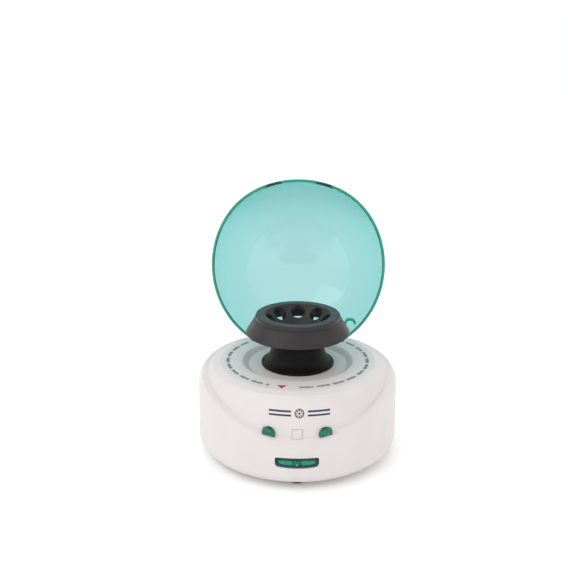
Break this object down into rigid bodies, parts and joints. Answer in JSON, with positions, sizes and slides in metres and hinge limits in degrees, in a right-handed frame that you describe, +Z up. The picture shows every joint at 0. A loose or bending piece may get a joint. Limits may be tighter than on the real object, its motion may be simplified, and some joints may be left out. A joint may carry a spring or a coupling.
{
  "type": "laboratory mini centrifuge",
  "caption": "Bench mini centrifuge with a round white casing, a hinged clear dome lid, an open fixed-angle tube rotor on a waisted pedestal and a front latch.",
  "frame": {"origin": "on the bench, under the rotor's axis; the base panel's centre is 1.4 mm above it", "axes": "+Z up along the rotor's axis, front with the latch towards -Y, lid hinge at +Y"},
  "size_m": [0.1556, 0.2, 0.2003],
  "materials": {
    "shell_abs": "warm white satin ABS",
    "base_abs": "warm white ABS with a fine texture",
    "lid_clear": "clear turquoise polycarbonate, polished",
    "catch_green": "deep green clear plastic",
    "plunger_white": "warm white ABS",
    "rotor_dark": "dark grey satin glass-filled plastic",
    "pedestal_black": "black satin plastic",
    "rubber_black": "black rubber",
    "steel": "zinc-plated steel",
    "aluminium": "turned aluminium",
    "brass": "sintered bronze and brass",
    "copper_winding": "enamelled copper winding on laminations",
    "board_green": "solder-masked glass-fibre board",
    "black_abs": "black moulded plastic",
    "ferrite": "ferrite magnet"
  },
  "bodies": {
    "base": {"housing_shell": "shell_abs", "bottom_plate": "base_abs", "housing_screws": "steel", "rubber_feet": "rubber_black", "circuit_board": "board_green", "board_screws": "steel", "board_components": "black_abs", "dc_jack": "black_abs", "jack_contact": "brass", "power_switch_body": "black_abs", "motor_pedestal": "pedestal_black", "motor_can": "steel", "motor_magnets": "ferrite", "upper_bearing": "brass", "lower_bearing": "brass", "motor_mount": "steel", "motor_dampers": "rubber_black", "motor_screws": "steel", "latch_frame": "black_abs", "latch_frame_screws": "steel", "latch_springs": "steel", "plunger_spring": "steel", "microswitch": "black_abs", "switch_bracket": "steel", "switch_rivets": "brass", "hinge_bracket": "black_abs", "hinge_bracket_screws": "steel", "hinge_pin": "steel"},
    "rotor": {"rotor": "rotor_dark", "rotor_nut": "aluminium", "rotor_adapter": "aluminium", "motor_shaft": "steel", "motor_armature": "copper_winding"},
    "lid": {"lid_dome": "lid_clear", "lid_hinge_arms": "lid_clear", "lid_loop": "catch_green"},
    "latch": {"latch_yoke": "catch_green", "release_button": "catch_green"},
    "plunger": {"interlock_plunger": "plunger_white"},
    "lever": {"switch_lever": "steel"},
    "rocker": {"power_rocker": "black_abs"}
  },
  "joints": [
    {"name": "rotor_spin", "type": "hinge", "parent": "base", "child": "rotor", "pos_m": [0, 0, 0.1], "axis": [0, 0, 1], "continuous": true},
    {"name": "lid_hinge", "type": "hinge", "parent": "base", "child": "lid", "pos_m": [0, 0.06, 0.062], "axis": [1, 0, 0], "range_deg": [0, 93]},
    {"name": "latch_slide", "type": "slide", "parent": "base", "child": "latch", "axis": [0, 1, 0], "range_m": [0, 0.003], "stiffness_N_per_m": 300, "springref_m": -0.003, "deforming": ["latch_springs"]},
    {"name": "plunger_slide", "type": "slide", "parent": "base", "child": "plunger", "axis": [0, 1, 0], "range_m": [0, 0.0015], "stiffness_N_per_m": 200, "springref_m": -0.003, "deforming": ["plunger_spring"]},
    {"name": "switch_lever_turn", "type": "hinge", "parent": "base", "child": "lever", "pos_m": [0, -0.0504, 0.0532], "axis": [1, 0, 0], "range_deg": [0, 10.5]},
    {"name": "power_rocker_tilt", "type": "hinge", "parent": "base", "child": "rocker", "pos_m": [0.018, 0.069, 0.02], "axis": [1, 0, 0], "range_deg": [0, 9]}
  ],
  "couplings": [
    {"joint": "switch_lever_turn", "follows": "plunger_slide", "rad_per_m": 120}
  ]
}
